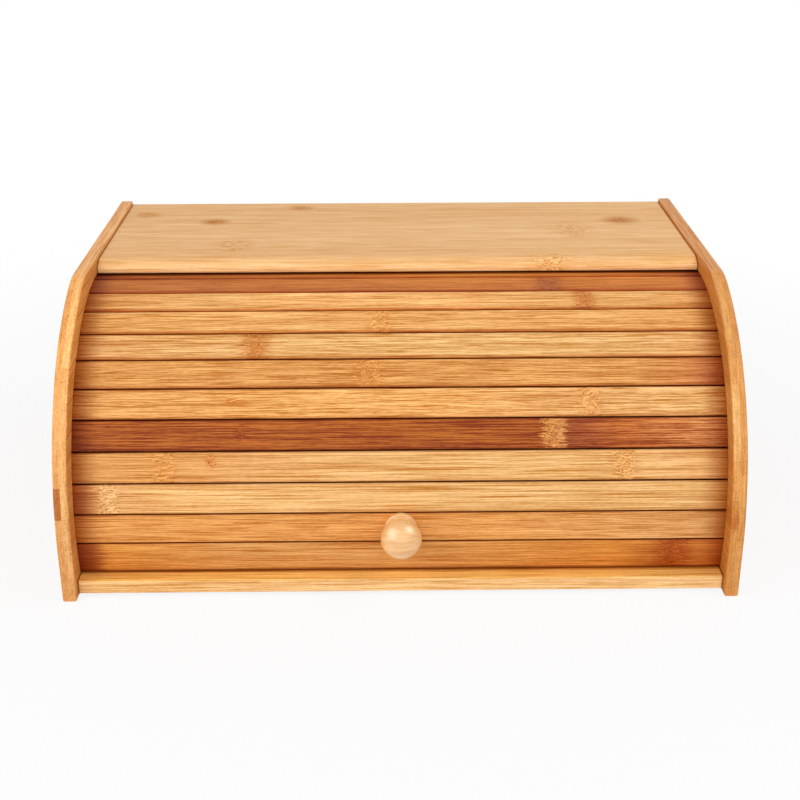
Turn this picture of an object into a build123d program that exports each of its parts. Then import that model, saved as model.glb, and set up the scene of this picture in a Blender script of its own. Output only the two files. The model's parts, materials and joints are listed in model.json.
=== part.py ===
from build123d import *
from math import acos, asin, atan2, cos, degrees, hypot, radians, sin, tan
import os

# A roll-top bread box in bamboo. +X is to the right, the front faces -Y and the
# sides stand on Z = 0. Lengths are in millimetres and angles in degrees.

# Side panels
inner_width = 383.0  # clear width between the side panels
side_thickness = 8.5
side_edge_round = 1.3
front_reveal = 13.8  # from the sides' front edge back to the foremost slat
front_arc_height = 33.7  # where the straight front edge turns into the arc
shoulder_angle = 74.6  # sweep of the sides' front arc, from level up to the shoulder
shoulder_blend = 40.0  # radius that eases the arc into the flat top

# Track of the roll door: a circle about one line across the box
track_height = 35.2
door_radius = 122.5  # from the track's centre line to the slats' flat fronts
groove_depth = 4.5
groove_play = 0.35  # clearance in front of and behind a slat's end
slat_end_play = 0.5  # from a slat's end to the bottom of its groove
groove_toe = 4.0  # how far the groove runs on below the bottom slat
groove_end_angle = 190.0  # where it ends behind the back of the box

# Slats of the roll door
slat_count = 13
slat_pitch = 18.7
slat_width = 17.7
bottom_slat_width = 19.6
slat_thickness = 5.0
slat_bevel = 0.5
closed_gap = 0.4  # under the bottom slat when the door is shut
canvas_thickness = 0.8
canvas_side_play = 3.0

# Boards between the sides
board_end_gap = 0.2
board_end_ease = 0.3
top_thickness = 7.7
top_play = 0.37  # between the slats and the top board above them
top_setback = 135.6  # from the sides' front edge to the top board's front
top_crown_radius = 15.0  # the nose eases over in two arcs, a wide one and then a tight one
top_crown_turn = 35.0
top_front_round = 3.3
top_lower_round = 1.2
side_lip = 1.9  # how far the sides stand above the top board
base_thickness = 8.8
base_lift = 2.0
base_setback = 5.3
base_front_round = 1.0
back_thickness = 7.6
rear_room = 8.2  # behind the slats' fronts, to the back panel
back_inset = 1.6  # from the back panel's outer face to the sides' rear edge

# Turned knob
knob_slat = 2
knob_foot_radius = 9.5
knob_foot_height = 2.8
knob_foot_round = 0.9
knob_neck_radius = 8.1  # where the neck meets the foot and the ball
knob_waist_radius = 7.4
knob_ball_radius = 12.0
knob_ball_depth = 10.4  # the ball is a little flat: half its length along the knob's axis
knob_side_radius = 8.5  # the ball's round side, which runs on into its wider cap
knob_ball_height = 15.6  # from the slat's front to the ball's centre

# Screws
screw_radius = 1.75
screw_head_radius = 3.25
screw_head_angle = 90.0
screw_reach = 19.0  # length in the board's end
screw_hole_play = 0.15
pilot_play = 0.05
cross_width = 0.9
cross_length = 3.4
cross_depth = 1.1
top_screw_inset = 22.0
base_screw_inset = 24.0
back_screw_inset = 32.0
knob_screw_radius = 2.0
knob_screw_head_radius = 3.8
knob_screw_head_height = 2.4
knob_screw_head_round = 0.8
knob_screw_reach = 11.0

# The slats' angles: 0 is level and forward of the track's centre, 90 is straight up
base_top = base_lift + base_thickness
slat_gap = slat_pitch - slat_width
corner_radius = hypot(door_radius - slat_bevel, bottom_slat_width / 2)
corner_angle = degrees(asin((base_top + closed_gap - track_height) / corner_radius))
bottom_angle = corner_angle + degrees(atan2(bottom_slat_width / 2, door_radius - slat_bevel))
pitch_angle = degrees(slat_pitch / door_radius)
first_step = degrees((bottom_slat_width + slat_gap + slat_pitch) / 2 / door_radius)
slat_angles = [bottom_angle]
slat_angles += [bottom_angle + first_step + pitch_angle * i for i in range(slat_count - 1)]
slat_widths = [bottom_slat_width] + [slat_width] * (slat_count - 1)
knob_angle = slat_angles[knob_slat - 1]

# Heights that follow from the track
slat_tip = hypot(door_radius, max(slat_widths) / 2 - slat_bevel)
slat_back = door_radius - slat_thickness
top_underside = track_height + slat_tip + top_play
top_face = top_underside + top_thickness
side_height = top_face + side_lip
side_arc_radius = (side_height - front_arc_height) / sin(radians(shoulder_angle))

# Depths, from the knob's tip to the sides' rear edge, centred on Y = 0
ball_step = knob_ball_radius - knob_side_radius
cap_rise = ball_step**2 + knob_ball_depth**2 - knob_side_radius**2
knob_cap_radius = cap_rise / (2 * (knob_ball_depth - knob_side_radius))
knob_cap_height = knob_ball_height + knob_ball_depth - knob_cap_radius
knob_reach = (door_radius + knob_cap_height) * cos(radians(knob_angle)) + knob_cap_radius
rear_reach = door_radius + rear_room + back_thickness + back_inset
track_y = (knob_reach - rear_reach) / 2
front_y = track_y - door_radius - front_reveal
rear_y = track_y + rear_reach
back_outer_y = rear_y - back_inset
back_inner_y = back_outer_y - back_thickness

# The groove, as angles from level and rearward, and the lengths across the box
track_centre = (track_y, track_height)
groove_start = 180 - groove_end_angle
groove_end = 180 - bottom_angle + degrees((bottom_slat_width / 2 + groove_toe) / door_radius)
groove_sweep = groove_end - groove_start
board_length = inner_width - 2 * board_end_gap
slat_length = inner_width + 2 * (groove_depth - slat_end_play)
canvas_width = inner_width - 2 * canvas_side_play


def radial(angle):
    return Vector(0, -cos(radians(angle)), sin(radians(angle)))


def along_door(angle):
    return Vector(0, sin(radians(angle)), cos(radians(angle)))


def door_point(angle, radius):
    return (track_y - radius * cos(radians(angle)), track_height + radius * sin(radians(angle)))


def end_planes(hand, x, places):
    return [Plane(origin=(hand * x, y, z), z_dir=(hand, 0, 0)) for y, z in places]


# Where the screws go through the sides, as (y, z)
top_y = front_y + top_setback
base_y = front_y + base_setback
top_middle = (top_underside + top_face) / 2
base_middle = (base_lift + base_top) / 2
back_middle = (back_inner_y + back_outer_y) / 2
top_spots = [(y, top_middle) for y in (top_y + top_screw_inset, back_outer_y - top_screw_inset)]
base_ends = (base_y + base_screw_inset, back_inner_y - base_screw_inset)
base_spots = [(y, base_middle) for y in (base_ends[0], sum(base_ends) / 2, base_ends[1])]
back_heights = (base_lift + back_screw_inset, top_underside - back_screw_inset)
back_spots = [(back_middle, z) for z in back_heights]
outer_x = inner_width / 2 + side_thickness

os.makedirs("parts", exist_ok=True)


def keep(builder, name):
    builder.part.label = name
    export_step(builder.part, "parts/" + name + ".step")


# Side panels: a flat back and top, a curved front, and the groove that the slats run in
for hand, name in ((-1, "side_left"), (1, "side_right")):
    arc_centre = (front_y + side_arc_radius, front_arc_height)
    with BuildPart() as side:
        with BuildSketch(Plane.YZ.offset(hand * inner_width / 2)) as outline:
            with BuildLine():
                leg = Line((front_y, 0), (front_y, front_arc_height))
                front = CenterArc(arc_centre, side_arc_radius, 180, -shoulder_angle)
                Polyline(front @ 1, (rear_y, side_height), (rear_y, 0), leg @ 0)
            make_face()
            shoulder = outline.vertices().sort_by_distance(front @ 1)[0]
            fillet(shoulder, radius=shoulder_blend)
        extrude(amount=hand * side_thickness)
        fillet(side.faces().filter_by(Axis.X).edges(), radius=side_edge_round)
        with BuildSketch(Plane.YZ.offset(hand * inner_width / 2)):
            with BuildLine():
                outer = CenterArc(track_centre, slat_tip + groove_play, groove_start, groove_sweep)
                inner = CenterArc(track_centre, slat_back - groove_play, groove_start, groove_sweep)
                Line(outer @ 0, inner @ 0)
                Line(outer @ 1, inner @ 1)
            make_face()
        extrude(amount=hand * groove_depth, mode=Mode.SUBTRACT)
        with Locations(*end_planes(hand, outer_x, top_spots + base_spots + back_spots)):
            CounterSinkHole(
                screw_radius + screw_hole_play,
                screw_head_radius + screw_hole_play,
                side_thickness,
                counter_sink_angle=screw_head_angle,
            )
    keep(side, name)


# Top board, with a rounded nose over the door
crown_reach = sin(radians(top_crown_turn))
nose_depth = top_crown_radius * crown_reach + top_front_round * (1 - crown_reach)
with BuildPart() as top_board:
    with BuildSketch(Plane.YZ.offset(-board_length / 2)) as section:
        with BuildLine():
            crown = JernArc((top_y + nose_depth, top_face), (-1, 0), top_crown_radius, top_crown_turn)
            nose = JernArc(crown @ 1, crown % 1, top_front_round, 90 - top_crown_turn)
            Polyline(
                nose @ 1,
                (top_y, top_underside),
                (back_outer_y, top_underside),
                (back_outer_y, top_face),
                crown @ 0,
            )
        make_face()
        lower_corner = section.vertices().sort_by_distance((top_y, top_underside))[0]
        fillet(lower_corner, radius=top_lower_round)
    extrude(amount=board_length)
    chamfer(top_board.faces().filter_by(Axis.X).edges(), length=board_end_ease)
    for hand in (-1, 1):
        with Locations(*end_planes(hand, board_length / 2, top_spots)):
            Hole(screw_radius + pilot_play, depth=screw_reach)
keep(top_board, "top_board")


# Base board
with BuildPart() as base_board:
    with BuildSketch(Plane.YZ.offset(-board_length / 2)) as section:
        with Locations(((base_y + back_inner_y) / 2, base_middle)):
            Rectangle(back_inner_y - base_y, base_thickness)
        fillet(section.vertices().group_by(Axis.X)[0], radius=base_front_round)
    extrude(amount=board_length)
    chamfer(base_board.faces().filter_by(Axis.X).edges(), length=board_end_ease)
    for hand in (-1, 1):
        with Locations(*end_planes(hand, board_length / 2, base_spots)):
            Hole(screw_radius + pilot_play, depth=screw_reach)
keep(base_board, "base_board")


# Back panel, behind the base board and under the top board
with BuildPart() as back_panel:
    with BuildSketch(Plane.YZ.offset(-board_length / 2)):
        with Locations((back_middle, (base_lift + top_underside) / 2)):
            Rectangle(back_thickness, top_underside - base_lift)
    extrude(amount=board_length)
    chamfer(back_panel.faces().filter_by(Axis.X).edges(), length=board_end_ease)
    for hand in (-1, 1):
        with Locations(*end_planes(hand, board_length / 2, back_spots)):
            Hole(screw_radius + pilot_play, depth=screw_reach)
keep(back_panel, "back_panel")


# Slats of the roll door, from the bottom one up
for number, (angle, width) in enumerate(zip(slat_angles, slat_widths), start=1):
    slat_plane = Plane((-slat_length / 2, track_y, track_height), along_door(angle), (1, 0, 0))
    with BuildPart() as slat:
        with BuildSketch(slat_plane) as section:
            with Locations((0, (slat_back + door_radius) / 2)):
                Rectangle(width, slat_thickness)
            chamfer(section.vertices().group_by(Axis.Y)[-1], length=slat_bevel)
        extrude(amount=slat_length)
        if number == knob_slat:
            knob_seat = Plane((0, *door_point(angle, door_radius)), z_dir=radial(angle))
            with Locations(knob_seat):
                Hole(knob_screw_radius + screw_hole_play, depth=slat_thickness)
    keep(slat, "slat_%02d" % number)


# Canvas glued to the backs of the slats, which holds the door together
folds = [(a + b) / 2 for a, b in zip(slat_angles, slat_angles[1:])]
half_turns = [(b - a) / 2 for a, b in zip(slat_angles, slat_angles[1:])]


def canvas_line(radius):
    bends = [door_point(a, radius / cos(radians(h))) for a, h in zip(folds, half_turns)]
    ends = []
    for angle, side_step in ((slat_angles[0], -bottom_slat_width / 2), (slat_angles[-1], slat_width / 2)):
        y, z = door_point(angle, radius)
        step = along_door(angle) * side_step
        ends.append((y + step.Y, z + step.Z))
    return [ends[0], *bends, ends[1]]


with BuildPart() as canvas:
    with BuildSketch(Plane.YZ.offset(-canvas_width / 2)):
        with BuildLine():
            back_line = canvas_line(slat_back)
            Polyline(*back_line, *reversed(canvas_line(slat_back - canvas_thickness)), back_line[0])
        make_face()
    extrude(amount=canvas_width)
    canvas_seat = Plane((0, *door_point(knob_angle, slat_back)), z_dir=radial(knob_angle))
    with Locations(canvas_seat):
        Hole(knob_screw_radius + screw_hole_play, depth=canvas_thickness)
keep(canvas, "canvas_backing")


# Knob: a foot, a hollowed neck and a ball
knob_base = Vector(0, *door_point(knob_angle, door_radius))
knob_axis = radial(knob_angle)
knob_plane = Plane(knob_base, (1, 0, 0), Vector(1, 0, 0).cross(knob_axis))
with BuildPart() as knob:
    with BuildSketch(knob_plane) as profile:
        with BuildLine():
            cap_start = degrees(atan2(knob_ball_height - knob_cap_height, ball_step))
            cap = CenterArc((0, knob_cap_height), knob_cap_radius, cap_start, 90 - cap_start)
            side_start = -degrees(acos((knob_neck_radius - ball_step) / knob_side_radius))
            side_turn = cap_start - side_start
            ball_side = CenterArc((ball_step, knob_ball_height), knob_side_radius, side_start, side_turn)
            neck_height = knob_ball_height + knob_side_radius * sin(radians(side_start))
            waist = (knob_waist_radius, (knob_foot_height + neck_height) / 2)
            neck = ThreePointArc((knob_neck_radius, knob_foot_height), waist, ball_side @ 0)
            Polyline(
                cap @ 1,
                (0, 0),
                (knob_foot_radius, 0),
                (knob_foot_radius, knob_foot_height),
                neck @ 0,
            )
        make_face()
        foot_edge = profile.vertices().sort_by_distance((knob_foot_radius, knob_foot_height))[0]
        fillet(foot_edge, radius=knob_foot_round)
    revolve(axis=Axis(knob_base, knob_axis))
    with Locations(Plane(knob_base, z_dir=-knob_axis)):
        Hole(knob_screw_radius + pilot_play, depth=knob_screw_reach)
keep(knob, "knob")


# Knob screw, through the canvas and its slat into the knob
screw_seat = Vector(0, *door_point(knob_angle, slat_back - canvas_thickness))
with BuildPart() as knob_screw:
    with BuildSketch(Plane(screw_seat, z_dir=-knob_axis)):
        Circle(knob_screw_head_radius)
    extrude(amount=knob_screw_head_height)
    fillet(knob_screw.edges().sort_by_distance(screw_seat)[-1], radius=knob_screw_head_round)
    with BuildSketch(Plane(screw_seat, z_dir=knob_axis)):
        Circle(knob_screw_radius)
    extrude(amount=canvas_thickness + slat_thickness + knob_screw_reach - pilot_play)
    cross_plane = Plane(screw_seat - knob_axis * knob_screw_head_height, z_dir=-knob_axis)
    with BuildSketch(cross_plane):
        Rectangle(cross_length, cross_width)
        Rectangle(cross_width, cross_length)
    extrude(amount=-cross_depth, mode=Mode.SUBTRACT)
keep(knob_screw, "knob_screw")


# Countersunk screw, its head's top at the origin and its point down
shank_length = side_thickness + screw_reach - pilot_play
screw_head_height = (screw_head_radius - screw_radius) / tan(radians(screw_head_angle / 2))
with BuildPart() as board_screw:
    with BuildSketch(Plane.XZ):
        with BuildLine():
            Polyline(
                (0, 0),
                (screw_head_radius, 0),
                (screw_radius, -screw_head_height),
                (screw_radius, screw_radius - shank_length),
                (0, -shank_length),
                (0, 0),
            )
        make_face()
    revolve(axis=Axis.Z)
    with BuildSketch(Plane.XY):
        Rectangle(cross_length, cross_width)
        Rectangle(cross_width, cross_length)
    extrude(amount=-cross_depth, mode=Mode.SUBTRACT)

screw_groups = {
    "top_board_screws": top_spots,
    "base_board_screws": base_spots,
    "back_panel_screws": back_spots,
}
for name, spots in screw_groups.items():
    with BuildPart() as screws:
        with Locations(*end_planes(-1, outer_x, spots), *end_planes(1, outer_x, spots)):
            add(board_screw.part)
    keep(screws, name)
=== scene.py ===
import bpy
import json
from math import atan2, cos, pi, radians, sin
from mathutils import Matrix, Vector


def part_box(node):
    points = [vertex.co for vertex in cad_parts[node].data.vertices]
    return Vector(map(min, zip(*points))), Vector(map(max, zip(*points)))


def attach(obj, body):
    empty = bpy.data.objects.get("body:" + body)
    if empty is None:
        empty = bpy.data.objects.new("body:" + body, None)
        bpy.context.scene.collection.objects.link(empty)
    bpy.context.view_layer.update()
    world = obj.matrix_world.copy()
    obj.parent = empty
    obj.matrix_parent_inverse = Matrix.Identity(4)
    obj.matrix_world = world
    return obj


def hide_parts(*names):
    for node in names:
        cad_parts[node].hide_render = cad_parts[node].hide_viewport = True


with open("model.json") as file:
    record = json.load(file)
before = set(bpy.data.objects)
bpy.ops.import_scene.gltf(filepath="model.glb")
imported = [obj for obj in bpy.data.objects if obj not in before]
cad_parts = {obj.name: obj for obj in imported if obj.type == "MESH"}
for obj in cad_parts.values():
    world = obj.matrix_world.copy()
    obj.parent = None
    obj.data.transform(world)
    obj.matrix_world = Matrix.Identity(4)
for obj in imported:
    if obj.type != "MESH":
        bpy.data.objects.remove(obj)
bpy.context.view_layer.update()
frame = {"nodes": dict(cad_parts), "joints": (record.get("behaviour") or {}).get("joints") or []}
nodes = frame["nodes"]
trackY, trackZ = frame["joints"][0]["pos_m"][1:]  # the roll door turns about this line along X
print("frame loaded:", len(nodes), "nodes")


# Camera, as the picture was taken: its place in metres and its turns in degrees
cameraSetup = {
    "place": (-0.00835, -0.82356, 0.42698),
    "tiltDown": 23.366,
    "turn": -0.648,
    "roll": -0.137,
    "focalPixels": 1358.4,
    "framePixels": 800,
    "sensorWidth": 36.0,  # millimetres
}


def addCamera(setup):
    data = bpy.data.cameras.new("pictureCamera")
    data.sensor_width = setup["sensorWidth"]
    data.lens = setup["sensorWidth"] * setup["focalPixels"] / setup["framePixels"]
    camera = bpy.data.objects.new("pictureCamera", data)
    bpy.context.scene.collection.objects.link(camera)
    turned = Matrix.Rotation(radians(setup["turn"]), 4, "Z")
    tilted = Matrix.Rotation(radians(90 - setup["tiltDown"]), 4, "X")
    rolled = Matrix.Rotation(radians(setup["roll"]), 4, "Z")
    camera.matrix_world = Matrix.Translation(setup["place"]) @ turned @ tilted @ rolled
    bpy.context.scene.camera = camera


addCamera(cameraSetup)
bpy.context.scene.view_settings.view_transform = "Standard"
print("camera set")


# A shader socket that can be used in sums. Each operator adds its Math node.
class Signal:
    def __init__(self, shader, socket):
        self.shader = shader
        self.socket = socket

    def __add__(self, other):
        return self.shader.maths("ADD", self, other)

    def __radd__(self, other):
        return self.shader.maths("ADD", other, self)

    def __sub__(self, other):
        return self.shader.maths("SUBTRACT", self, other)

    def __rsub__(self, other):
        return self.shader.maths("SUBTRACT", other, self)

    def __mul__(self, other):
        return self.shader.maths("MULTIPLY", self, other)

    def __rmul__(self, other):
        return self.shader.maths("MULTIPLY", other, self)

    def __truediv__(self, other):
        return self.shader.maths("DIVIDE", self, other)

    def __rtruediv__(self, other):
        return self.shader.maths("DIVIDE", other, self)

    def __abs__(self):
        return self.shader.maths("ABSOLUTE", self)


# How far one step of a seed moves a noise along the three axes, in its own features
seedSteps = (3.71, 5.13, 2.37)


# One node tree, of a material or of the world
class Shader:
    def __init__(self, owner):
        owner.use_nodes = True
        self.owner = owner
        self.tree = owner.node_tree
        self.tree.nodes.clear()

    def add(self, kind, settings=None, inputs=None, output=0):
        node = self.tree.nodes.new("ShaderNode" + kind)
        for name, value in (settings or {}).items():
            if name == "stops":
                self.setStops(node.color_ramp, value)
            else:
                setattr(node, name, value)
        for name, value in (inputs or {}).items():
            if isinstance(value, Signal):
                self.tree.links.new(value.socket, node.inputs[name])
            else:
                node.inputs[name].default_value = value
        if node.outputs:
            return Signal(self, node.outputs[output])

    def setStops(self, ramp, stops):
        while len(ramp.elements) < len(stops):
            ramp.elements.new(1.0)
        for element, (position, tone) in zip(ramp.elements, stops):
            element.position = position
            element.color = tone

    def maths(self, operation, *values):
        return self.add("Math", {"operation": operation}, dict(enumerate(values)))

    def objectPlace(self):
        return self.add("TexCoord", output="Object")

    def split(self, vector):
        return [self.add("SeparateXYZ", inputs={0: vector}, output=axis) for axis in range(3)]

    def join(self, x, y, z):
        return self.add("CombineXYZ", inputs={0: x, 1: y, 2: z})

    # Noise with features of the given lengths along the three axes
    def noise(self, place, lengths, seed, detail=2.0, twist=0.0):
        scale = tuple(1 / length for length in lengths)
        shift = tuple(seed * step for step in seedSteps)
        moved = {0: place, 1: scale, 2: shift}
        scaled = self.add("VectorMath", {"operation": "MULTIPLY_ADD"}, moved)
        sockets = {"Vector": scaled, "Scale": 1.0, "Detail": detail, "Distortion": twist}
        return self.add("TexNoise", inputs=sockets)

    # The same, drawn out along the first axis: size is its length there and its width
    def strandNoise(self, place, size, seed, detail=1.0, twist=0.0):
        length, width = size
        return self.noise(place, (length, width, width), seed, detail, twist)

    def distance(self, first, second):
        return self.maths("SQRT", first * first + second * second)

    # From 0 at start to 1 at end, with a soft curve
    def ease(self, value, start, end):
        sockets = {"Value": value, "From Min": start, "From Max": end}
        return self.add("MapRange", {"interpolation_type": "SMOOTHSTEP"}, sockets)

    def mix(self, factor, first, second):
        return self.add("Mix", {"data_type": "RGBA"}, {0: factor, 6: first, 7: second}, output=2)

    def tint(self, tone, factors):
        return self.add("VectorMath", {"operation": "MULTIPLY"}, {0: tone, 1: factors})

    def bump(self, height, strength, distance):
        sockets = {"Strength": strength, "Distance": distance, "Height": height}
        return self.add("Bump", inputs=sockets)

    # The finished material, from the sockets of its Principled shader
    def finish(self, sockets):
        surface = self.add("BsdfPrincipled", inputs=sockets)
        self.add("OutputMaterial", inputs={"Surface": surface})
        return self.owner


def newShader(name):
    return Shader(bpy.data.materials.new(name))


# A screen's channel, from 0 to 255, as the linear value that a socket takes
def linear(channel):
    part = channel / 255
    return part / 12.92 if part <= 0.04045 else ((part + 0.055) / 1.055) ** 2.4


def colour(red, green, blue):
    return (linear(red), linear(green), linear(blue), 1.0)


# Bamboo tones, from bleached to carbonised
bambooTones = {
    # vanilla is sand with a little white added, a painted sheen for the top board, whose own gloss
    # is low
    "vanilla": colour(249, 196, 131),
    "sand": colour(245, 191, 120),
    "wheat": colour(239, 180, 108),
    "straw": colour(250, 182, 104),
    "oat": colour(232, 176, 105),
    "biscuit": colour(225, 163, 94),
    "honey": colour(236, 171, 94),
    "gold": colour(229, 156, 78),
    "caramel": colour(220, 153, 79),
    "amber": colour(223, 142, 55),
    "rose": colour(200, 120, 60),
    "copper": colour(214, 124, 46),
    "toffee": colour(196, 111, 40),
    "chestnut": colour(180, 92, 32),
    "umber": colour(160, 76, 18),
    "russet": colour(152, 70, 28),
}

# Kinds of knuckle: what each does to the tone, and where its stain starts and stops fading, as a
# share of the way to the knuckle's edge
knuckleKinds = {
    "bleached": {"tint": (1.6, 2.7, 4.0), "stain": (0.75, 1.15)},
    "pale": {"tint": (1.06, 1.1, 1.14), "stain": (0.3, 2.0)},
    "plain": {"tint": (0.93, 0.82, 0.66), "stain": (0.3, 2.0)},
    "dark": {"tint": (0.76, 0.54, 0.24), "stain": (0.3, 2.0)},
    "rusty": {"tint": (0.64, 0.4, 0.1), "stain": (0.2, 2.6)},
    "reddish": {"tint": (0.74, 0.5, 0.3), "stain": (0.3, 2.0)},
    "smudge": {"tint": (0.66, 0.54, 0.66), "stain": (0.3, 2.0)},
    "spot": {"tint": (0.88, 0.68, 0.5), "stain": (0.5, 1.8)},
}

# The look of bamboo, where a piece gives no value of its own
plainBamboo = {
    "strandLength": 0.04,
    "strandTints": {"dark": (0.64, 0.44, 0.14, 1.0), "light": (1.24, 1.44, 1.9, 1.0)},
    "sway": 0.002,  # how far the strands wander
    "cells": (0.0042, 0.0011),  # length and width of the short strands in a knuckle
    "tangled": 1.2,  # how much those stand out
    "clouds": 1.3,  # how much lighter and darker the tone is from place to place
    "stripContrast": 0.0,
    "gloss": 0.2,
}

# The figure of all bamboo. A size is a length along the strands and a width across them, in metres.
# Threads and dark lines are as long as their share of the piece's strandLength.
figure = {
    "ragged": (0.05, 0.0011),
    "sway": (0.07, 0.008),
    "kink": (0.006, 0.0022),
    "kinkReach": 0.0016,
    "flecks": (0.004, 0.0004),
    "clouds": (0.13, 0.004),
    "strandWidth": 0.0005,
    "threadWidth": 0.0003,
    "threadShare": 0.35,
    "darkLineWidth": 0.00042,
    "darkLineShare": 0.8,
    "darkLineLimits": (0.56, 0.68),
    "crackLimits": (0.0, 0.06),
    "cellTwist": 1.2,
    "seam": 0.022,  # a share of the strip's width
    "seamShade": 0.12,
    "middleShade": 0.55,
}

# How much each part adds to the grain, and to the tangle in a knuckle
grainParts = {"strands": 2.0, "threads": 1.8, "flecks": 1.0, "darkLines": 0.85, "level": 0.07}
tangleParts = {"cells": 2.0, "cracks": 1.4, "level": 0.36}

# Knuckles: how ragged their ends are, and where their middle and the bent strands around them
# start and stop fading, as a share of the way to the knuckle's edge
knuckleForm = {"raggedness": 1.8, "middle": (0.7, 1.15), "around": (0.6, 3.2), "grainLost": 0.6}

# How far a second ply's strands, strips and shades are from the first one's, and each strip's
# strands from the next strip's
plySteps = {"along": 0.43, "strips": 0.37, "shades": 7.0}
stripStep = 0.9

# Tones are given from -0.2 to 0.2 m, and meet each other along ragged lines
toneReach = 0.2
toneRaggedness = 0.02

# Thin satin lacquer over the grain
lacquer = {
    "roughness": 0.45,
    "grainRoughness": 0.1,
    "cloudBump": 0.3,
    "bumpStrength": 0.3,
    "bumpHeight": 0.0003,
    "coat": 0.04,
    "coatRoughness": 0.3,
}


# Strips glued edge to edge, each a little lighter or darker than the next
def gluedStrips(shader, across, ply, look):
    strips = across / look["stripWidth"] + look["stripShift"] + ply * plySteps["strips"]
    number = shader.maths("FLOOR", strips)
    which = number + look["seed"] + ply * plySteps["shades"]
    shade = shader.add("TexWhiteNoise", {"noise_dimensions": "1D"}, {"W": which})
    fromSeam = 0.5 - abs(strips - number - 0.5)
    return shade, 1 - shader.ease(fromSeam, 0.0, figure["seam"])


# Knuckles, where the strands are short and tangled. Their ends are as ragged as the strands.
def knuckleAreas(shader, along, across, ragged, knuckles):
    middle, around, stains = 0.0, 0.0, []
    for x, y, halfLength, halfWidth, kind in knuckles:
        raggedEnd = ragged * halfLength * knuckleForm["raggedness"]
        farAlong = (along - x + raggedEnd) / halfLength
        farAcross = (across - y) / halfWidth
        far = shader.distance(farAlong, farAcross)
        middle = shader.maths("MAXIMUM", middle, 1 - shader.ease(far, *knuckleForm["middle"]))
        around = shader.maths("MAXIMUM", around, 1 - shader.ease(far, *knuckleForm["around"]))
        stain = knuckleKinds[kind]
        stains.append((1 - shader.ease(far, *stain["stain"]), stain["tint"]))
    return middle, around, stains


# Bamboo: along, across and depth are places in metres, and the strands run along the first one.
# ply is 1 where a second layer starts, which has strands of its own.
def bamboo(shader, along, across, depth, look, ply=0.0):
    look = {**plainBamboo, **look}
    seed = look["seed"]
    shifted = along + ply * plySteps["along"]
    stripShade, seam = 0.5, 0.0
    if "stripWidth" in look:
        stripShade, seam = gluedStrips(shader, across, ply, look)
        shifted = shifted + stripShade * stripStep
    place = shader.join(shifted, across, depth)
    ragged = shader.strandNoise(place, figure["ragged"], seed + 1) - 0.5
    middle, around, stains = knuckleAreas(shader, along, across, ragged, look["knuckles"])

    # Strands, bent a little and more so beside the knuckles
    sway = shader.strandNoise(place, figure["sway"], seed + 2) - 0.5
    kink = shader.strandNoise(place, figure["kink"], seed + 3) - 0.5
    bent = across + sway * look["sway"] + kink * around * figure["kinkReach"]
    strandPlace = shader.join(shifted, bent, depth)
    strandLength = look["strandLength"]
    strandSize = (strandLength, figure["strandWidth"])
    threadSize = (strandLength * figure["threadShare"], figure["threadWidth"])
    darkLineSize = (strandLength * figure["darkLineShare"], figure["darkLineWidth"])
    strands = shader.strandNoise(strandPlace, strandSize, seed + 4) - 0.5
    threads = shader.strandNoise(strandPlace, threadSize, seed + 5) - 0.5
    flecks = shader.strandNoise(strandPlace, figure["flecks"], seed + 9) - 0.5
    clouds = shader.strandNoise(strandPlace, figure["clouds"], seed + 6, detail=2.0) - 0.5
    lines = shader.strandNoise(strandPlace, darkLineSize, seed + 7, detail=0.0)
    darkLines = shader.ease(lines, *figure["darkLineLimits"])
    grain = strands * grainParts["strands"] + threads * grainParts["threads"]
    grain = grain + flecks * grainParts["flecks"] - darkLines * grainParts["darkLines"]
    grain = grain + grainParts["level"]

    # In the knuckles, cells with dark cracks between them
    cells = shader.strandNoise(place, look["cells"], seed + 8, twist=figure["cellTwist"]) - 0.5
    cracks = 1 - shader.ease(abs(cells), *figure["crackLimits"])
    tangle = tangleParts["level"] + cells * tangleParts["cells"] - cracks * tangleParts["cracks"]
    grain = grain * (1 - middle * knuckleForm["grainLost"]) + tangle * look["tangled"] * middle
    if "cutEdge" in look:
        where, cutGrain, grainLost = look["cutEdge"]
        grain = grain * (1 - where * grainLost) + cutGrain * where

    # Colour: the tone at this place along the piece, tinted strand by strand, stained, and given
    # the piece's own tints and painted shade
    shade = figure["middleShade"] + (grain + clouds * look["clouds"]) * look["contrast"]
    shade = shade + (stripShade - 0.5) * look["stripContrast"] - seam * figure["seamShade"]
    stops = [((x + toneReach) / (2 * toneReach), bambooTones[tone]) for x, tone in look["tones"]]
    toneEnds = {"From Min": -toneReach, "From Max": toneReach}
    toneAt = shader.add("MapRange", inputs={"Value": along + ragged * toneRaggedness, **toneEnds})
    tone = shader.add("ValToRGB", {"stops": stops}, {"Fac": toneAt})
    strandTints = look["strandTints"]
    painted = shader.tint(tone, shader.mix(shade, strandTints["dark"], strandTints["light"]))
    # stains, then the piece's own tints, among them painted shade
    for where, tint in stains + look["tintsAndShade"]:
        painted = shader.mix(where, painted, shader.tint(painted, tint))
    height = grain + clouds * lacquer["cloudBump"]
    return shader.finish(
        {
            "Base Color": painted,
            "Roughness": lacquer["roughness"] - grain * lacquer["grainRoughness"],
            "Normal": shader.bump(height, lacquer["bumpStrength"], lacquer["bumpHeight"]),
            "Specular IOR Level": look["gloss"],
            "Coat Weight": lacquer["coat"],
            "Coat Roughness": lacquer["coatRoughness"],
        }
    )


def assign(node, material):
    piece = nodes[node]
    if piece.data.materials:
        for index in range(len(piece.data.materials)):
            piece.data.materials[index] = material
    else:
        piece.data.materials.append(material)


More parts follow.
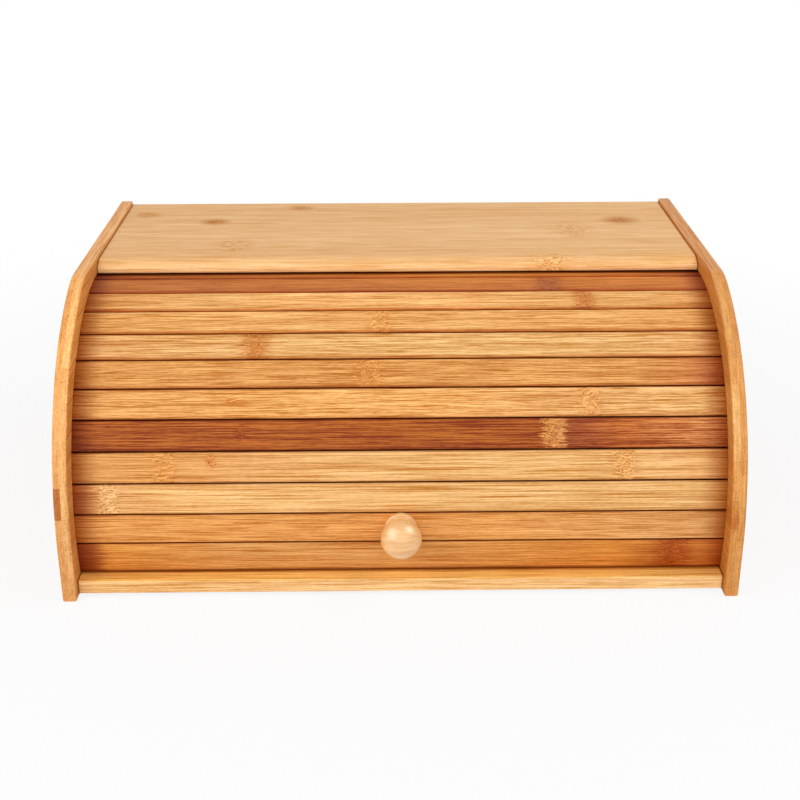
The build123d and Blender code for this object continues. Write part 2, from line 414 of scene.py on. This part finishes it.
# The roll door's slats. Tones run from the left end to the right, each at its x. A knuckle is its
# x, half its length, and its kind, and is as wide as the slat. A spot is its x, its place across
# the slat, half its length, half its width, and its kind.
slatLooks = {
    "slat_01": {
        "tones": [
            (-0.18, "chestnut"),
            (-0.174, "amber"),
            (-0.1, "caramel"),
            (0.0, "caramel"),
            (0.125, "amber"),
            (0.158, "toffee"),
            (0.19, "copper"),
        ],
        "knuckles": [(0.163, 0.0085, "reddish")],
        "contrast": 0.65,
        "tangled": 1.5,
        "sway": 0.0008,
        "strandLength": 0.06,
        "halfWidth": 0.0098,
        # Painted shadow: a dark line where the door stands on the base board
        "footShadowTint": (0.45, 0.2, 0.07),  # the dark line where the door stands on the base board
    },
    "slat_02": {
        "tones": [(-0.19, "gold"), (0.06, "gold"), (0.19, "biscuit")],
        "knuckles": [],
        "contrast": 0.7,
        "sway": 0.0012,
    },
    "slat_03": {
        "tones": [
            (-0.188, "rose"),
            (-0.176, "biscuit"),
            (-0.13, "wheat"),
            (0.0, "oat"),
            (0.19, "oat"),
        ],
        "knuckles": [(-0.172, 0.006, "pale")],
        "contrast": 0.7,
        "tangled": 2.0,
        "sway": 0.0007,
        "strandLength": 0.075,
    },
    "slat_04": {
        "tones": [
            (-0.19, "caramel"),
            (-0.15, "caramel"),
            (-0.08, "biscuit"),
            (0.0, "oat"),
            (0.1, "oat"),
            (0.19, "biscuit"),
        ],
        "knuckles": [(-0.138, 0.0055, "plain"), (0.131, 0.0055, "plain")],
        "spots": [(-0.111, 0.0035, 0.0026, 0.0036, "spot")],
        "contrast": 0.62,
        "tangled": 2.6,
        "sway": 0.001,
        "strandLength": 0.06,
    },
    "slat_05": {
        "tones": [
            (-0.19, "umber"),
            (0.0, "umber"),
            (0.078, "umber"),
            (0.105, "russet"),
            (0.13, "chestnut"),
            (0.19, "rose"),
        ],
        "knuckles": [(0.09, 0.007, "bleached")],
        "spots": [(-0.0936, 0.001, 0.002, 0.004, "spot")],
        "contrast": 1.4,
        "strandTints": {"dark": (0.58, 0.34, 0.1, 1.0), "light": (1.4, 1.85, 2.6, 1.0)},
        "sway": 0.0008,
        "strandLength": 0.05,
    },
    "slat_06": {
        "tones": [
            (-0.19, "caramel"),
            (-0.14, "caramel"),
            (-0.08, "honey"),
            (0.03, "honey"),
            (0.1, "biscuit"),
            (0.19, "oat"),
        ],
        "knuckles": [(0.111, 0.0055, "plain")],
        "spots": [(-0.0985, 0.002, 0.002, 0.002, "spot")],
        "contrast": 0.95,
        "tangled": 1.9,
    },
    "slat_07": {
        "tones": [(-0.19, "caramel"), (0.14, "caramel"), (0.178, "rose"), (0.19, "rose")],
        "knuckles": [(-0.018, 0.0065, "plain")],
        "contrast": 0.95,
        "tangled": 1.5,
    },
    "slat_08": {
        "tones": [(-0.19, "biscuit"), (0.0, "oat"), (0.12, "oat"), (0.19, "biscuit")],
        "knuckles": [(-0.086, 0.0065, "reddish")],
        "contrast": 0.78,
        "tangled": 1.6,
    },
    "slat_09": {
        "tones": [(-0.19, "honey"), (0.19, "honey")],
        "knuckles": [(-0.012, 0.0055, "plain")],
        "contrast": 0.8,
    },
    "slat_10": {
        "tones": [
            (-0.19, "gold"),
            (-0.13, "honey"),
            (-0.05, "straw"),
            (0.04, "straw"),
            (0.1, "honey"),
            (0.19, "honey"),
        ],
        "knuckles": [(0.114, 0.005, "reddish")],
        "contrast": 0.8,
        "tangled": 1.5,
    },
    "slat_11": {
        "tones": [(-0.19, "toffee"), (0.2, "copper")],
        "knuckles": [(0.094, 0.006, "smudge")],
        "contrast": 0.7,
    },
    "slat_12": {
        # slat_12 lies in the top board's shadow, and its dark tones are partly painted shade
        "tones": [
            (-0.19, "umber"),
            (-0.08, "toffee"),
            (0.0, "copper"),
            (0.05, "amber"),
            (0.12, "copper"),
            (0.19, "chestnut"),
        ],
        "knuckles": [],
        "contrast": 0.9,
        "strandLength": 0.05,
        # Painted shadow of the top board's edge on this slat
        "boardShadowTint": (0.22, 0.12, 0.05),  # the dark band below the top board's edge
        "boardShadowFade": (-0.0045, -0.0012),  # places across the slat
    },
    "slat_13": {
        "tones": [(-0.19, "honey"), (0.19, "gold")],
        "knuckles": [(0.05, 0.006, "plain")],
        "contrast": 0.8,
    },
}

# Painted shade at the slats' edges. Lower and upper fade from the slat's long edges, end from its
# ends, and wall is the faces in the gaps,
# by their place through the slat: painted shade under each slat, between the slats, beside the side
# panels and in the gaps.
# The upper slats lean back, and their long edges get more painted shade.
slatEdge = {
    "halfWidth": 0.00885,
    "lower": 0.0024,
    "lowerTint": (0.66, 0.36, 0.12),
    "upper": 0.0009,
    "upperLean": 0.0003,
    "upperShare": 0.3,
    "upperLeanShare": 0.6,
    "upperTint": (0.42, 0.2, 0.07),
    "halfLength": 0.1895,
    "endFade": (-0.004, 0.0155),
    "endTint": (0.5, 0.26, 0.05),
    "wallFade": (0.0014, 0.0021),
    "wallTint": (0.4, 0.18, 0.06),
}


# A slat's turn on the track, in radians: at 0 it faces forward, and a quarter turn on, upward
def slatAngle(name):
    low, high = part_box(name)
    middle = (low + high) / 2
    return atan2(middle.z - trackZ, trackY - middle.y)


def slatFinish(name, look, seed):
    low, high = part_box(name)
    shader = newShader(name + "Bamboo")
    angle = slatAngle(name)
    lean = max(sin(angle), 0)
    onSlat = {
        "Vector": shader.objectPlace(),
        "Location": (low + high) / 2,
        "Rotation": (pi / 2 - angle, 0, 0),
    }
    along, across, depth = shader.split(shader.add("Mapping", {"vector_type": "TEXTURE"}, onSlat))
    halfWidth = look.get("halfWidth", slatEdge["halfWidth"])
    upperStart = lean * slatEdge["upperLean"]
    upperShare = slatEdge["upperShare"] + lean * slatEdge["upperLeanShare"]
    lower = 1 - shader.ease(across + halfWidth, 0.0, slatEdge["lower"])
    upper = 1 - shader.ease(halfWidth - across, upperStart, slatEdge["upper"])
    end = 1 - shader.ease(slatEdge["halfLength"] - abs(along), *slatEdge["endFade"])
    wall = 1 - shader.ease(depth, *slatEdge["wallFade"])
    # Painted shade: darker lower and upper long edges, ends beside the side panels, and faces in
    # the gaps
    tintsAndShade = [
        (lower * lean, slatEdge["lowerTint"]),
        (upper * upperShare, slatEdge["upperTint"]),
        (end, slatEdge["endTint"]),
    ]
    # Painted shadow along slat_01's lower edge, where it meets the base board
    if "footShadowTint" in look:
        wall = wall * shader.maths("GREATER_THAN", across, 0.0)  # nothing is below this slat
        tintsAndShade.append((lower, look["footShadowTint"]))
    tintsAndShade.append((wall, slatEdge["wallTint"]))
    # Painted shadow below the top board's edge
    if "boardShadowTint" in look:
        tintsAndShade.append((shader.ease(across, *look["boardShadowFade"]), look["boardShadowTint"]))
    knuckles = [(x, 0.0, halfLength, 1.0, kind) for x, halfLength, kind in look["knuckles"]]
    knuckles += look.get("spots", [])
    look = {**look, "knuckles": knuckles, "seed": seed, "tintsAndShade": tintsAndShade}
    return bamboo(shader, along, across, depth, look)


for number, (name, look) in enumerate(slatLooks.items(), start=1):
    assign(name, slatFinish(name, look, number * 10))
print("slats finished")


# Boards and sides are glued up from strips. Here and below a knuckle is its x, or its y on a side
# panel, then its place across the strips, half its length, half its width, and its kind.
gluedBoard = {"contrast": 0.55, "sway": 0.001, "strandLength": 0.06, "stripWidth": 0.0195}

# Boards, with the grain from side to side
boardLooks = {
    "top_board": {
        **gluedBoard,
        "acrossAxis": 1,
        "tones": [(-0.19, "vanilla"), (0.19, "vanilla")],
        "knuckles": [
            (-0.176, 0.1136, 0.006, 0.005, "dark"),
            (-0.126, 0.0947, 0.0055, 0.0045, "rusty"),
            (-0.107, 0.0395, 0.009, 0.011, "plain"),
            (-0.069, 0.13, 0.007, 0.005, "dark"),
            (0.097, 0.009, 0.011, 0.007, "plain"),
            (0.121, 0.07, 0.01, 0.014, "plain"),
            (0.156, 0.094, 0.007, 0.0055, "rusty"),
        ],
        "contrast": 0.42,
        "clouds": 1.5,
        "cells": (0.004, 0.002),
        "tangled": 3.0,
        "strandTints": {"dark": (0.78, 0.56, 0.24, 1.0), "light": (1.14, 1.3, 1.65, 1.0)},
        "sway": 0.0015,
        "strandLength": 0.05,
        "stripShift": 0.3,
        "stripContrast": 0.16,
        "gloss": 0.06,
        "seed": 200,
    },
    "base_board": {
        **gluedBoard,
        "acrossAxis": 1,
        "tones": [(-0.19, "sand"), (0.19, "sand")],
        "knuckles": [
            (0.09, -0.05, 0.008, 0.008, "plain"),
            (-0.12, 0.03, 0.008, 0.008, "plain"),
        ],
        "contrast": 0.58,
        "stripShift": 0.1,
        "stripContrast": 0.2,
        "seed": 220,
        # Painted shade on the deck in front of the door, and a painted shadow where the door stands
        "deck": {
            "height": 0.0102,
            "tint": (0.96, 0.86, 0.52),  # fades by fadeShare over the fade behind the door
            "fade": 0.02,
            "fadeShare": 0.65,
            "doorY": -0.1162,
            "doorShadow": 0.0028,  # how far the dark line reaches to each side of the door's face
            "doorShadowTint": (0.5, 0.26, 0.08),
        },
    },
    "back_panel": {
        **gluedBoard,
        "acrossAxis": 2,
        "tones": [(-0.19, "honey"), (0.19, "gold")],
        "knuckles": [
            (-0.08, 0.045, 0.008, 0.009, "plain"),
            (0.12, 0.105, 0.008, 0.009, "dark"),
            (-0.15, 0.125, 0.008, 0.009, "plain"),
            (0.03, 0.07, 0.008, 0.009, "plain"),
        ],
        "stripShift": 0.5,
        "stripContrast": 0.25,
        "seed": 240,
    },
}
boardEnds = {"fade": (0.1902, 0.1912), "tint": (0.35, 0.22, 0.12)}


# Painted shade on the base board's upper face: darker and more orange in front of the door, as
# shade and light thrown back from the door, with a painted shadow line where the door stands on it
def deckShade(shader, y, z, deck):
    onDeck = shader.maths("GREATER_THAN", z, deck["height"])
    behindDoor = y - deck["doorY"]
    faded = shader.ease(behindDoor, 0.0, deck["fade"]) * deck["fadeShare"]
    doorShadow = 1 - shader.ease(abs(behindDoor), 0.0, deck["doorShadow"])
    return [(onDeck * (1 - faded), deck["tint"]), (onDeck * doorShadow, deck["doorShadowTint"])]


def boardFinish(name, look):
    shader = newShader(name + "Bamboo")
    place = shader.split(shader.objectPlace())
    across = look["acrossAxis"]
    tintsAndShade = [(shader.ease(abs(place[0]), *boardEnds["fade"]), boardEnds["tint"])]
    if "deck" in look:
        tintsAndShade += deckShade(shader, place[1], place[2], look["deck"])
    return bamboo(shader, place[0], place[across], place[3 - across], {**look, "tintsAndShade": tintsAndShade})


for name, look in boardLooks.items():
    assign(name, boardFinish(name, look))


# Side panels: two plies with the grain from front to back. A patch is a stretch of one ply's strips
# of another tone: its lower and upper height, how softly it ends, its ply and its tint. The right
# side's pale upper patch is a painted sheen.
gluedSide = {**gluedBoard, "stripContrast": 0.24, "clouds": 0.6}
sideLooks = {
    "side_left": {
        **gluedSide,
        "tones": [(-0.13, "biscuit"), (-0.09, "straw"), (0.13, "straw")],
        "knuckles": [(0.02, 0.06, 0.008, 0.009, "plain"), (0.09, 0.13, 0.008, 0.009, "dark")],
        "stripShift": 0.25,
        "outerTint": (0.9, 0.79, 0.66),
        "seed": 300,
        "patches": [
            (0.0532, 0.0718, 0.0003, "outer", (0.64, 0.44, 0.3)),
            (0.033, 0.0532, 0.0003, "inner", (1.06, 1.12, 1.18)),
        ],
    },
    "side_right": {
        **gluedSide,
        "tones": [(-0.13, "caramel"), (-0.06, "caramel"), (0.0, "gold")],
        "knuckles": [(-0.03, 0.09, 0.008, 0.009, "plain"), (0.06, 0.05, 0.008, 0.009, "plain")],
        "stripShift": 0.7,
        "outerTint": (0.95, 0.88, 0.8),
        "seed": 320,
        "patches": [
            # Painted sheen: a paler, whiter band on the inner ply
            (0.09, 0.12, 0.007, "inner", (1.08, 1.22, 1.5)),
            (0.044, 0.054, 0.004, "inner", (0.84, 0.64, 0.45)),
            (0.0, 0.062, 0.001, "inner", (0.88, 0.8, 0.68)),
        ],
    },
}
sideFaces = {
    "innerDepth": 0.0004,
    # Painted shade on the side panels' inner faces
    "innerShadeTint": (0.9, 0.76, 0.55),
    "patchShare": 0.55,  # how much of a patch shows on the flat faces
}

# The curved front edge, which cuts the strands and was sanded along its curve
sideEdge = {
    "centreY": 0.00726,
    "centreZ": 0.0337,
    "radius": 0.1393,
    "cutFade": (0.002, 0.0008),  # depths below the edge
    "frontFade": (0.0, 0.06),  # places forward of the curve's centre
    "grainLost": 0.8,
    "sanded": (0.01, 0.0008, 1.0),
    "sandedShare": 2.0,
    "pores": (0.001, 0.0005, 1.0),
    "poreShare": 2.2,
    "level": 0.12,
}


# Where the front edge is, its grain, and how much of the strands' grain is lost there
def cutEdge(shader, x, y, z, seed):
    forward = sideEdge["centreY"] - y
    up = z - sideEdge["centreZ"]
    radius = sideEdge["radius"]
    start, end = sideEdge["cutFade"]
    where = shader.ease(shader.distance(forward, up), radius - start, radius - end)
    where = where * shader.ease(forward, *sideEdge["frontFade"])
    along = shader.maths("ARCTAN2", up, forward) * radius
    place = shader.join(along, x, 0.0)
    sanded = shader.noise(place, sideEdge["sanded"], seed + 9) - 0.5
    pores = shader.noise(place, sideEdge["pores"], seed + 10, detail=1.0) - 0.5
    grain = sanded * sideEdge["sandedShare"] + pores * sideEdge["poreShare"] + sideEdge["level"]
    return where, grain, sideEdge["grainLost"]


def sideFinish(name, look):
    shader = newShader(name + "Bamboo")
    x, y, z = shader.split(shader.objectPlace())
    low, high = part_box(name)
    inner = min(abs(low.x), abs(high.x))
    outerPly = shader.maths("GREATER_THAN", abs(x), abs(low.x + high.x) / 2)
    innerFace = shader.maths("LESS_THAN", abs(x), inner + sideFaces["innerDepth"])
    cut = cutEdge(shader, x, y, z, look["seed"])
    plies = {"outer": outerPly, "inner": 1 - outerPly}
    flatShare = sideFaces["patchShare"]
    patchShare = flatShare + cut[0] * (1 - flatShare)
    # the outer ply's own tone, and painted shade on the inner face
    tintsAndShade = [(outerPly, look["outerTint"]), (innerFace, sideFaces["innerShadeTint"])]
    for bottom, top, soft, ply, patchTint in look["patches"]:
        above = shader.ease(z, bottom - soft, bottom + soft)
        below = shader.ease(z, top + soft, top - soft)
        tintsAndShade.append((above * below * patchShare * plies[ply], patchTint))
    look = {**look, "tintsAndShade": tintsAndShade, "cutEdge": cut}
    return bamboo(shader, y, z, x, look, outerPly)


for name, look in sideLooks.items():
    assign(name, sideFinish(name, look))
print("boards and sides finished")


# Turned knob in pale hardwood, with a thick clear coat
knobWood = {
    "dark": colour(222, 155, 84),
    "light": colour(246, 201, 137),
    "rings": (0.03, 0.004, 0.0018),
    "ringShare": 1.6,
    "ringTwist": 0.6,
    "pores": (0.004, 0.0005, 0.0004),
    "poreShare": 0.6,
    "poreStrength": 0.12,
    "poreDepth": 0.0001,
    "roughness": 0.4,
    "coatRoughness": 0.28,
    "coatIndex": 1.75,
    "seed": 410,
}


def knobFinish(wood):
    shader = newShader("knobWood")
    place = shader.objectPlace()
    rings = shader.noise(place, wood["rings"], wood["seed"], twist=wood["ringTwist"]) - 0.5
    pores = shader.noise(place, wood["pores"], wood["seed"] + 1) - 0.5
    shade = 0.5 + rings * wood["ringShare"] + pores * wood["poreShare"]
    return shader.finish(
        {
            "Base Color": shader.mix(shade, wood["dark"], wood["light"]),
            "Roughness": wood["roughness"],
            "Normal": shader.bump(pores, wood["poreStrength"], wood["poreDepth"]),
            "Coat Weight": 1.0,
            "Coat Roughness": wood["coatRoughness"],
            "Coat IOR": wood["coatIndex"],
        }
    )


assign("knob", knobFinish(knobWood))


# Zinc plated screws
screwZinc = {
    "dark": colour(196, 196, 190),
    "light": colour(226, 226, 222),
    "scratches": (0.0002, 0.0015, 0.0002),
    "scratchStrength": 0.2,
    "scratchDepth": 0.00005,
    "roughness": 0.32,
    "scratchRoughness": 0.2,
    "seed": 430,
}


def screwFinish(zinc):
    shader = newShader("screwZinc")
    place = shader.objectPlace()
    scratches = shader.noise(place, zinc["scratches"], zinc["seed"], detail=3.0) - 0.5
    return shader.finish(
        {
            "Base Color": shader.mix(0.5 + scratches, zinc["dark"], zinc["light"]),
            "Metallic": 1.0,
            "Roughness": zinc["roughness"] + scratches * zinc["scratchRoughness"],
            "Normal": shader.bump(scratches, zinc["scratchStrength"], zinc["scratchDepth"]),
        }
    )


screws = screwFinish(screwZinc)
for name in ("knob_screw", "top_board_screws", "base_board_screws", "back_panel_screws"):
    assign(name, screws)
print("knob and screws finished")


# Canvas glued to the slats' backs, with a fold at each joint
canvas = {
    "width": 0.377,
    "slatBack": 0.1175,
    "thickness": 0.0008,
    "dark": colour(196, 180, 148),
    "light": colour(232, 222, 196),
    # painted shade in the gaps between the slats
    "gapShadeTint": (0.3, 0.13, 0.05),
    "glueDepth": 0.3,  # a share of the thickness, from its middle outwards
    "thread": 0.0011,
    "wander": 0.0004,  # how far the threads are from straight
    "uneven": (0.006, 0.006, 0.006),
    "slubs": (0.02, 0.0008, 0.001),
    "weaveShare": 0.22,
    "slubShare": 0.8,
    "unevenShare": 0.5,
    "roughness": 0.9,
    "bumpStrength": 0.5,
    "bumpHeight": 0.0002,
    "seed": 450,
}


def canvasPoint(angle, radius):
    return Vector((0, trackY - radius * cos(angle), trackZ + radius * sin(angle)))


def addCanvas(setup):
    angles = [slatAngle(name) for name in slatLooks]
    folds = [(a + b) / 2 for a, b in zip(angles, angles[1:])]
    ends = [2 * angles[0] - folds[0], *folds, 2 * angles[-1] - folds[-1]]
    radius = (setup["slatBack"] - setup["thickness"] / 2) / cos((folds[1] - folds[0]) / 2)
    points = [canvasPoint(angle, radius) for angle in ends]
    bpy.ops.object.select_all(action="DESELECT")
    bpy.ops.mesh.primitive_plane_add(size=setup["width"], location=points[0])
    sheet = bpy.context.object
    sheet.name = "canvasSheet"
    bpy.ops.object.transform_apply()
    bpy.ops.object.mode_set(mode="EDIT")
    bpy.ops.mesh.select_all(action="SELECT")
    bpy.ops.mesh.merge(type="COLLAPSE")
    bpy.ops.transform.translate(value=(-setup["width"] / 2, 0, 0))
    bpy.ops.mesh.extrude_region_move(TRANSFORM_OT_translate={"value": (setup["width"], 0, 0)})
    bpy.ops.mesh.select_all(action="SELECT")
    for point, nextPoint in zip(points, points[1:]):
        bpy.ops.mesh.extrude_region_move(TRANSFORM_OT_translate={"value": nextPoint - point})
    bpy.ops.mesh.select_all(action="SELECT")
    bpy.ops.mesh.normals_make_consistent(inside=False)
    bpy.ops.object.mode_set(mode="OBJECT")
    sheet.data.materials.append(canvasFinish(setup))
    solid = sheet.modifiers.new("cloth", "SOLIDIFY")
    solid.thickness = setup["thickness"]
    solid.offset = 0
    bpy.ops.object.modifier_apply(modifier="cloth")
    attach(sheet, "door")
    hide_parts("canvas_backing")


# Plain weave: threads over and under each other along the sheet and across it. The side that is
# glued to the slats is painted darker, as painted shade in the gaps between the slats, where only
# it shows.
def canvasFinish(setup):
    shader = newShader("canvasCotton")
    x, y, z = shader.split(shader.objectPlace())
    forward = trackY - y
    up = z - trackZ
    down = shader.maths("ARCTAN2", up, forward) * setup["slatBack"]
    place = shader.join(x, down, 0.0)
    uneven = shader.noise(place, setup["uneven"], setup["seed"]) - 0.5
    slubs = shader.noise(place, setup["slubs"], setup["seed"] + 1) - 0.5
    wander = uneven * setup["wander"]
    turnsPerMetre = 2 * pi / setup["thread"]
    acrossWave = shader.maths("SINE", (x + wander) * turnsPerMetre)
    alongWave = shader.maths("SINE", (down + wander) * turnsPerMetre)
    weave = acrossWave * alongWave
    shade = 0.5 + weave * setup["weaveShare"] + slubs * setup["slubShare"]
    shade = shade + uneven * setup["unevenShare"]
    cotton = shader.mix(shade, setup["dark"], setup["light"])
    # Painted shade: the face glued to the slats is darkened, and shows only in the gaps
    gluedFrom = setup["slatBack"] - setup["thickness"] * setup["glueDepth"]
    glued = shader.maths("GREATER_THAN", shader.distance(forward, up), gluedFrom)
    return shader.finish(
        {
            "Base Color": shader.mix(glued, cotton, shader.tint(cotton, setup["gapShadeTint"])),
            "Roughness": setup["roughness"],
            "Normal": shader.bump(weave + slubs, setup["bumpStrength"], setup["bumpHeight"]),
        }
    )


addCanvas(canvas)
print("canvas made")


# Floor and backdrop. The camera sees them white, and the floor keeps the shadow close to the box.
studio = {
    "floorSize": 6.0,
    "floorDrop": 0.0002,
    "paper": (0.85, 0.85, 0.85, 1),
    "white": (1, 1, 1, 1),
    "nearWhite": 0.86,
    "whiteFade": (0.25, 0.75),  # from the middle of the box
    "ambient": 0.37,
}


def addFloor(setup):
    bpy.ops.object.select_all(action="DESELECT")
    bpy.ops.mesh.primitive_plane_add(size=setup["floorSize"], location=(0, 0, -setup["floorDrop"]))
    floor = bpy.context.object
    floor.name = "studioFloor"
    shader = newShader("floorPaper")
    paper = shader.add("BsdfDiffuse", inputs={"Color": setup["paper"]})
    glow = shader.add("Emission", inputs={"Color": setup["white"], "Strength": 1.0})
    fromBox = shader.add("VectorMath", {"operation": "LENGTH"}, {0: shader.objectPlace()}, "Value")
    fade = shader.ease(fromBox, *setup["whiteFade"])
    white = setup["nearWhite"] + fade * (1 - setup["nearWhite"])
    seen = shader.add("LightPath", output="Is Camera Ray") * white
    both = shader.add("MixShader", inputs={0: seen, 1: paper, 2: glow})
    shader.add("OutputMaterial", inputs={"Surface": both})
    floor.data.materials.append(shader.owner)


def addWorld(setup):
    world = bpy.data.worlds.new("studioWorld")
    bpy.context.scene.world = world
    shader = Shader(world)
    seen = shader.add("LightPath", output="Is Camera Ray")
    glossy = shader.add("LightPath", output="Is Glossy Ray")
    through = shader.add("LightPath", output="Is Transmission Ray")
    white = shader.maths("MINIMUM", seen + glossy + through, 1.0)
    strength = setup["ambient"] + white * (1 - setup["ambient"])
    sky = shader.add("Background", inputs={"Color": setup["white"], "Strength": strength})
    shader.add("OutputWorld", inputs={"Surface": sky})


# Lamps, all turned to one height above the box's middle. The knob's highlights show only the side
# ones.
lampAim = Vector((0, 0, 0.08))
softboxes = {
    "leftSoftbox": {
        "place": (-1.1, -0.75, 0.8),
        "size": (1.2, 1.3),
        "watts": 11.7,
        "inHighlights": True,
    },
    "rightSoftbox": {
        "place": (0.9, -0.3, 1.1),
        "size": (0.75, 0.75),
        "watts": 6.1,
        "inHighlights": True,
    },
    "frontSoftbox": {
        "place": (0.1, -1.5, 0.65),
        "size": (1.4, 0.8),
        "watts": 7.1,
        "inHighlights": False,
    },
}


def addSoftbox(name, setup):
    data = bpy.data.lights.new(name, "AREA")
    data.shape = "RECTANGLE"
    data.size, data.size_y = setup["size"]
    data.energy = setup["watts"]
    light = bpy.data.objects.new(name, data)
    bpy.context.scene.collection.objects.link(light)
    away = Vector(setup["place"]) - lampAim
    turned = away.to_track_quat("Z", "Y").to_matrix().to_4x4()
    light.matrix_world = Matrix.Translation(setup["place"]) @ turned
    light.visible_glossy = setup["inHighlights"]


addFloor(studio)
addWorld(studio)
for name, setup in softboxes.items():
    addSoftbox(name, setup)
print("studio set")
